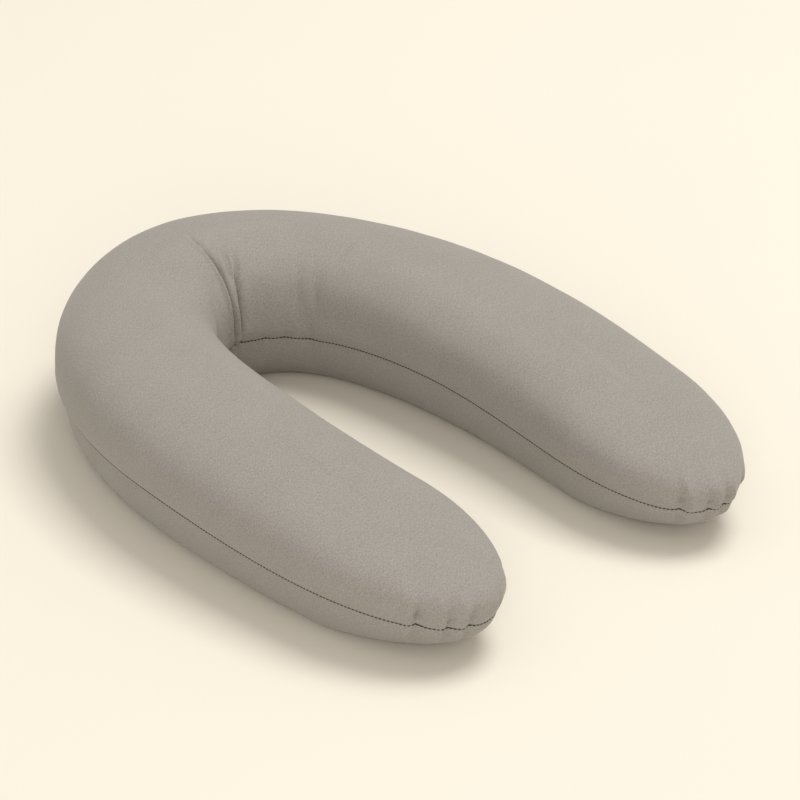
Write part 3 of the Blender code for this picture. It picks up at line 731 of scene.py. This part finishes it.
def tooth_model(sign):
    """One turn of the coil, from the tape to a rounded head just past the middle."""
    deselect()
    root = COIL_HIGH
    head = -TOOTH_OVERLAP
    depth = COIL_OUTER - COIL_INNER
    bpy.ops.mesh.primitive_cylinder_add(
        vertices=8, radius=0.5, depth=1.0, location=(0, 0, (root + head) / 2))
    tooth = bpy.context.object
    tooth.scale = (depth, TOOTH_WIDTH, root - head)
    bpy.ops.object.transform_apply(location=True, rotation=False, scale=True)
    bpy.ops.object.mode_set(mode="EDIT")
    for height in TOOTH_CUTS:
        bpy.ops.mesh.select_all(action="SELECT")
        bpy.ops.mesh.bisect(plane_co=(0, 0, height), plane_no=(0, 0, 1))
    bpy.ops.object.mode_set(mode="OBJECT")
    for vertex in tooth.data.vertices:
        if vertex.co.z < HEAD_END:
            vertex.co.y *= HEAD_WIDENING
        if abs(vertex.co.z - head) < 1e-6:
            vertex.co.x *= HEAD_THINNING
        vertex.co.z *= sign
    vertices, faces = take_mesh(tooth)
    return vertices, faces if sign > 0 else [face[::-1] for face in faces]


def make_teeth(name, sign, centre):
    radius = (COIL_INNER + COIL_OUTER) / 2
    step = TOOTH_PITCH / radius
    start = -ZIP_HALF_ANGLE + step * (0.75 if sign > 0 else 0.25)
    places = []
    for angle in np.arange(start, ZIP_HALF_ANGLE - step / 4, step):
        spot = Vector(centre) + radius * Vector((sin(angle), cos(angle), 0.0))
        places.append(Matrix.Translation(spot) @ Matrix.Rotation(pi / 2 - angle, 4, "Z"))
    return copies(name, tooth_model(sign), places)


def rounded_copy(node, name, width, segments=2):
    """A node's shape with its edges broken, as cast or stamped metal has them."""
    obj = nodes[node].copy()
    obj.data = nodes[node].data.copy()
    obj.name = name
    obj.data.name = name
    obj.parent = None
    for key in list(obj.keys()):
        del obj[key]
    bpy.context.scene.collection.objects.link(obj)
    deselect()
    bpy.context.view_layer.objects.active = obj
    obj.select_set(True)
    bpy.ops.object.mode_set(mode="EDIT")
    bpy.ops.mesh.select_all(action="SELECT")
    bpy.ops.mesh.remove_doubles(threshold=0.00001)
    bpy.ops.mesh.dissolve_limited(angle_limit=radians(1))
    bpy.ops.mesh.normals_make_consistent(inside=False)
    bpy.ops.object.mode_set(mode="OBJECT")
    bevel = obj.modifiers.new("Edges", "BEVEL")
    bevel.width = width
    bevel.segments = segments
    bevel.limit_method = "ANGLE"
    bevel.angle_limit = radians(30)
    apply_modifiers(obj)
    smooth(obj, radians(40))
    return obj


def make_label(spokes):
    """A blank satin tag, caught in the seam along its upper edge."""
    width, drop = LABEL_SIZE
    low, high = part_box("care_label")
    column = column_of(spokes, 1, BEND_ARC + LABEL_DISTANCE, 0.0)
    outward = Vector((*spokes.direction[column], 0.0))
    sideways = Vector((-outward.y, outward.x, 0.0))
    top = Vector(((low.x + high.x) / 2, (low.y + high.y) / 2, high.z))
    deselect()
    bpy.ops.mesh.primitive_grid_add(x_subdivisions=12, y_subdivisions=16, size=1.0)
    label = bpy.context.object
    label.name = "care_label_satin"
    label.data.name = label.name
    for vertex in label.data.vertices:
        across, down = vertex.co.x, 0.5 - vertex.co.y
        curl = LABEL_CURL * down ** 2 + LABEL_WAVE * down * sin(2.2 * across * pi)
        vertex.co = top + across * width * sideways + curl * outward - Vector((0, 0, down * drop))
    thickness = label.modifiers.new("Satin", "SOLIDIFY")
    thickness.thickness = LABEL_THICKNESS
    thickness.offset = 0.0
    apply_modifiers(label)
    smooth(label)
    return label


# ================================================================================
# Materials
# ================================================================================
def linear(code):
    """An sRGB hex code as linear colour."""
    parts = [int(code[i:i + 2], 16) / 255 for i in (1, 3, 5)]
    return (*[p / 12.92 if p <= 0.04045 else ((p + 0.055) / 1.055) ** 2.4 for p in parts], 1.0)


def add(material, kind, settings=None, links=None, **attributes):
    """A node with its settings, and links to its inputs from other nodes' outputs."""
    tree = material.node_tree
    made = tree.nodes.new(kind)
    for name, value in attributes.items():
        setattr(made, name, value)
    for name, value in (settings or {}).items():
        made.inputs[name].default_value = value
    for name, output in (links or {}).items():
        tree.links.new(output, made.inputs[name])
    return made


def new_material(name):
    material = bpy.data.materials.new(name)
    material.use_nodes = True
    material.node_tree.nodes.clear()
    return material


def finish_material(material, shader):
    add(material, "ShaderNodeOutputMaterial", links={"Surface": shader.outputs[0]})
    return material


def colour_ramp(material, factor, low, high, start=0.0, end=1.0):
    ramp = add(material, "ShaderNodeValToRGB", links={"Fac": factor})
    ramp.color_ramp.elements[0].position = start
    ramp.color_ramp.elements[1].position = end
    ramp.color_ramp.elements[0].color = linear(low)
    ramp.color_ramp.elements[1].color = linear(high)
    return ramp.outputs["Color"]


def brushed_jersey():
    """Cotton jersey, knitted and then brushed: matt, soft, with a fine uneven mottle."""
    material = new_material("brushed_cotton_jersey")
    place = add(material, "ShaderNodeTexCoord")
    cut = add(material, "ShaderNodeUVMap", uv_map="cut")
    # Fuzz of about 1.2 mm, drawn coarser than the real 0.3 mm so that it shows
    fuzz = add(material, "ShaderNodeTexNoise", {"Scale": 850.0, "Detail": 3.0, "Roughness": 0.7},
               {"Vector": place.outputs["Object"]})
    # Wales of the knit, drawn 1 mm apart and 2 mm long where the real ones are finer
    stretch = add(material, "ShaderNodeMapping", {"Scale": (1.0, 0.5, 1.0)}, {"Vector": cut.outputs["UV"]})
    knit = add(material, "ShaderNodeTexNoise", {"Scale": 1000.0, "Detail": 1.0},
               {"Vector": stretch.outputs["Vector"]})
    cloud = add(material, "ShaderNodeTexNoise", {"Scale": 30.0, "Detail": 1.0},
                {"Vector": place.outputs["Object"]})
    grain = add(material, "ShaderNodeMix", {"Factor": 0.4},
                {"A": fuzz.outputs["Fac"], "B": knit.outputs["Fac"]})
    mottle = add(material, "ShaderNodeMix", {"Factor": 0.06},
                 {"A": grain.outputs["Result"], "B": cloud.outputs["Fac"]})
    colour = colour_ramp(material, mottle.outputs["Result"], "#817C76", "#9C9791", 0.36, 0.64)
    bump = add(material, "ShaderNodeBump", {"Strength": 0.6, "Distance": 0.0004},
               {"Height": grain.outputs["Result"]})
    shader = add(material, "ShaderNodeBsdfPrincipled", {
        "Roughness": 0.95, "Specular IOR Level": 0.2, "Sheen Weight": 0.2, "Sheen Roughness": 0.5,
        "Sheen Tint": linear("#F4F2EE")}, {"Base Color": colour, "Normal": bump.outputs["Normal"]})
    return finish_material(material, shader)


def plain_weave(name, low, high, thread, roughness):
    """A flat woven cloth: over-and-under threads, slightly uneven."""
    material = new_material(name)
    place = add(material, "ShaderNodeTexCoord")
    checks = add(material, "ShaderNodeTexNoise", {"Scale": 1 / thread, "Detail": 2.0},
                 {"Vector": place.outputs["Object"]})
    colour = colour_ramp(material, checks.outputs["Fac"], low, high, 0.35, 0.65)
    bump = add(material, "ShaderNodeBump", {"Strength": 0.3, "Distance": thread / 3},
               {"Height": checks.outputs["Fac"]})
    shader = add(material, "ShaderNodeBsdfPrincipled", {"Roughness": roughness, "Specular IOR Level": 0.3},
                 {"Base Color": colour, "Normal": bump.outputs["Normal"]})
    return finish_material(material, shader)


def spun_thread(name, low, high):
    """Spun polyester thread: twisted strands with a faint gloss."""
    material = new_material(name)
    place = add(material, "ShaderNodeTexCoord")
    strands = add(material, "ShaderNodeTexNoise", {"Scale": 2500.0, "Detail": 1.0},
                  {"Vector": place.outputs["Object"]})
    colour = colour_ramp(material, strands.outputs["Fac"], low, high, 0.35, 0.65)
    bump = add(material, "ShaderNodeBump", {"Strength": 0.4, "Distance": 0.0001},
               {"Height": strands.outputs["Fac"]})
    shader = add(material, "ShaderNodeBsdfPrincipled", {"Roughness": 0.6, "Sheen Weight": 0.1},
                 {"Base Color": colour, "Normal": bump.outputs["Normal"]})
    return finish_material(material, shader)


def twill_tape():
    """Woven polyester zip tape: fine slanted ribs, dull."""
    material = new_material("woven_polyester_tape")
    place = add(material, "ShaderNodeTexCoord")
    ribs = add(material, "ShaderNodeTexWave", {"Scale": 320.0, "Distortion": 1.2,
                                               "Detail": 1.0, "Detail Scale": 3.0},
               {"Vector": place.outputs["Object"]}, bands_direction="DIAGONAL")
    colour = colour_ramp(material, ribs.outputs["Fac"], "#77706A", "#8F877F")
    bump = add(material, "ShaderNodeBump", {"Strength": 0.5, "Distance": 0.0001},
               {"Height": ribs.outputs["Fac"]})
    shader = add(material, "ShaderNodeBsdfPrincipled", {"Roughness": 0.8}, {
        "Base Color": colour, "Normal": bump.outputs["Normal"]})
    return finish_material(material, shader)


def nylon_coil():
    """Drawn nylon monofilament: smooth, slightly waxy."""
    material = new_material("nylon_monofilament")
    place = add(material, "ShaderNodeTexCoord")
    drift = add(material, "ShaderNodeTexNoise", {"Scale": 400.0}, {"Vector": place.outputs["Object"]})
    colour = colour_ramp(material, drift.outputs["Fac"], "#6E6862", "#7C756E")
    shader = add(material, "ShaderNodeBsdfPrincipled", {"Roughness": 0.38, "IOR": 1.53},
                 {"Base Color": colour})
    return finish_material(material, shader)


def plated_zinc():
    """Die-cast zinc with dull nickel plate: satin metal with faint tumbling marks."""
    material = new_material("nickel_plated_zinc")
    place = add(material, "ShaderNodeTexCoord")
    wear = add(material, "ShaderNodeTexNoise", {"Scale": 900.0, "Detail": 3.0},
               {"Vector": place.outputs["Object"]})
    colour = colour_ramp(material, wear.outputs["Fac"], "#8E8B87", "#A9A6A2", 0.35, 0.65)
    rough = add(material, "ShaderNodeMapRange", {"To Min": 0.26, "To Max": 0.42},
                {"Value": wear.outputs["Fac"]})
    bump = add(material, "ShaderNodeBump", {"Strength": 0.12, "Distance": 0.0001},
               {"Height": wear.outputs["Fac"]})
    shader = add(material, "ShaderNodeBsdfPrincipled", {"Metallic": 1.0}, {
        "Base Color": colour, "Roughness": rough.outputs["Result"], "Normal": bump.outputs["Normal"]})
    return finish_material(material, shader)


def satin_ribbon():
    """Woven satin ribbon: pale, with a soft gloss along its fine ribs."""
    material = new_material("woven_satin_ribbon")
    place = add(material, "ShaderNodeTexCoord")
    ribs = add(material, "ShaderNodeTexWave", {"Scale": 260.0, "Distortion": 0.4},
               {"Vector": place.outputs["Object"]}, bands_direction="Z")
    colour = colour_ramp(material, ribs.outputs["Fac"], "#E4E0D8", "#F0EDE6")
    bump = add(material, "ShaderNodeBump", {"Strength": 0.25, "Distance": 0.00005},
               {"Height": ribs.outputs["Fac"]})
    shader = add(material, "ShaderNodeBsdfPrincipled", {"Roughness": 0.45, "Sheen Weight": 0.2}, {
        "Base Color": colour, "Normal": bump.outputs["Normal"]})
    return finish_material(material, shader)


def matt_paper():
    """Seamless studio paper: pale and warm, with no gloss."""
    material = new_material("studio_paper")
    place = add(material, "ShaderNodeTexCoord")
    tone = add(material, "ShaderNodeTexNoise", {"Scale": 1.5, "Detail": 1.0},
               {"Vector": place.outputs["Object"]})
    colour = colour_ramp(material, tone.outputs["Fac"], "#E0DACD", "#E2DCCF")
    shader = add(material, "ShaderNodeBsdfPrincipled", {"Roughness": 1.0, "Specular IOR Level": 0.0},
                 {"Base Color": colour})
    return finish_material(material, shader)


def dress(obj, material):
    obj.data.materials.clear()
    obj.data.materials.append(material)


# ================================================================================
# Camera, floor and light
# ================================================================================
CAMERA_AZIMUTH = radians(-41.16)
CAMERA_ELEVATION = radians(28.78)
CAMERA_DISTANCE = 2.628
CAMERA_LENS = 138.5
CAMERA_TARGET = Vector((0.0120, -0.0376, 0.070))
FLOOR_SIZE = 60.0
FLOOR_DROP = 0.5 * MM         # keeps the floor from flickering through the flat underside
LAMP_DISTANCE = 6.0
LAMP_SIZE = 3.0
KEY_POWER = 240.0
FILL_POWER = 150.0
SKY_STRENGTH = 0.6


def add_camera():
    camera = bpy.data.objects.new("camera", bpy.data.cameras.new("camera"))
    bpy.context.scene.collection.objects.link(camera)
    camera.data.lens = CAMERA_LENS
    camera.data.sensor_width = 36.0
    level = cos(CAMERA_ELEVATION)
    back = Vector((sin(CAMERA_AZIMUTH) * level, -cos(CAMERA_AZIMUTH) * level, sin(CAMERA_ELEVATION)))
    camera.location = CAMERA_TARGET + CAMERA_DISTANCE * back
    camera.rotation_euler = back.to_track_quat("Z", "Y").to_euler()
    bpy.context.scene.camera = camera


def add_area_light(name, azimuth, elevation, power, colour):
    """A square soft light that faces the pillow; azimuth 0 is behind -Y, as for the camera."""
    light = bpy.data.lights.new(name, "AREA")
    light.size = LAMP_SIZE
    light.energy = power
    light.color = linear(colour)[:3]
    lamp = bpy.data.objects.new(name, light)
    bpy.context.scene.collection.objects.link(lamp)
    azimuth, elevation = radians(azimuth), radians(elevation)
    back = Vector((sin(azimuth) * cos(elevation), -cos(azimuth) * cos(elevation), sin(elevation)))
    lamp.location = back * LAMP_DISTANCE
    lamp.rotation_euler = back.to_track_quat("Z", "Y").to_euler()


def add_studio():
    deselect()
    bpy.ops.mesh.primitive_grid_add(
        x_subdivisions=8, y_subdivisions=8, size=FLOOR_SIZE, location=(0, 0, -FLOOR_DROP))
    floor = bpy.context.object
    floor.name = "floor"
    dress(floor, matt_paper())
    world = bpy.data.worlds.new("studio")
    world.use_nodes = True
    background = world.node_tree.nodes["Background"]
    background.inputs["Color"].default_value = linear("#FFFBF6")
    background.inputs["Strength"].default_value = SKY_STRENGTH
    bpy.context.scene.world = world
    bpy.context.scene.view_settings.view_transform = "Standard"
    add_area_light("key", 87.0, 68.0, KEY_POWER, "#FFFEFC")
    add_area_light("fill", -40.0, 24.0, FILL_POWER, "#FFFCF8")


# ================================================================================
# The pillow
# ================================================================================
def make_cover():
    spokes = Spokes(cover_distances(), np.linspace(0.0, pi, TIP_SPOKES + 1)[1:-1])
    upper = Panel(spokes, upper_section(spokes), fine_rows(UPPER_ROWS))
    lower = Panel(spokes, lower_section(spokes), fine_rows(LOWER_ROWS))
    moves = (np.zeros_like(upper.points), np.zeros_like(lower.points))
    (coarse_upper, move_upper), (coarse_lower, move_lower) = swelling(spokes.every(SIM_SKIP))
    moves = (spread(upper, coarse_upper, move_upper), spread(lower, coarse_lower, move_lower))
    top, top_points = make_panel("cover_upper_panel", upper, moves[0], True)
    base, base_points = make_panel("cover_lower_panel", lower, moves[1], False)
    jersey = brushed_jersey()
    for piece, node in ((top, "cover_top"), (base, "cover_bottom")):
        dress(piece, jersey)
        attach(piece, "pillow")
        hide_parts(node)
    return spokes, (upper, top_points), (lower, base_points)


def make_threads(spokes, upper, lower):
    dark = spun_thread("spun_polyester_thread", "#1E1B19", "#332F2C")
    grey = spun_thread("zip_sewing_thread", "#57514B", "#6A635C")
    seam = make_seam_stitches(upper[1], lower[1], spokes)
    above = make_zip_stitches("zip_stitches_upper", upper[1], upper[0])
    below = make_zip_stitches("zip_stitches_lower", lower[1], lower[0])
    rows = (
        (seam, "seam_thread", "seam_thread", dark),
        (above, "zip_thread_upper", "zip_thread", grey),
        (below, "zip_thread_lower", "zip_thread", grey),
    )
    for piece, node, slot, material in rows:
        dress(piece, material)
        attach(piece, "pillow")
        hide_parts(node)


def make_zip(spokes):
    centre = (0.0, spokes.foot[0, 1] - BEND_RADIUS, SEAM_HEIGHTS[0])
    nylon = nylon_coil()
    zinc = plated_zinc()
    tape = twill_tape()
    for name, sign in (("upper", 1), ("lower", -1)):
        teeth = make_teeth("zip_teeth_" + name, sign, centre)
        dress(teeth, nylon)
        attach(teeth, "pillow")
        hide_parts("zip_coil_" + name)
        dress(nodes["zip_tape_" + name], tape)
    metal = (
        ("zip_top_stop_upper", "pillow", 0.25), ("zip_top_stop_lower", "pillow", 0.25),
        ("zip_bottom_stop", "pillow", 0.3), ("zip_slider", "slider", 0.22), ("zip_pull", "pull", 0.22),
    )
    for node, body, width in metal:
        piece = rounded_copy(node, node + "_cast", width * MM)
        dress(piece, zinc)
        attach(piece, body)
        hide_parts(node)


def dress_inside():
    """The casing and the fibre inside the cover keep their shape."""
    cotton = plain_weave("bleached_cotton_percale", "#E2DDD3", "#EFEBE3", 0.6 * MM, 0.85)
    fibre = plain_weave("polyester_fibre", "#EDECE8", "#F8F8F5", 4.0 * MM, 0.95)
    white = spun_thread("white_polyester_thread", "#E0DDD6", "#EFEDE8")
    for node, material in (("casing_top", cotton), ("casing_bottom", cotton), ("fibre_filling", fibre),
                           ("casing_thread", white)):
        dress(nodes[node], material)


def main():
    add_camera()
    add_studio()
    spokes, upper, lower = make_cover()
    make_threads(spokes, upper, lower)
    make_zip(spokes)
    label = make_label(spokes)
    dress(label, satin_ribbon())
    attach(label, "pillow")
    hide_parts("care_label")
    dress_inside()


main()
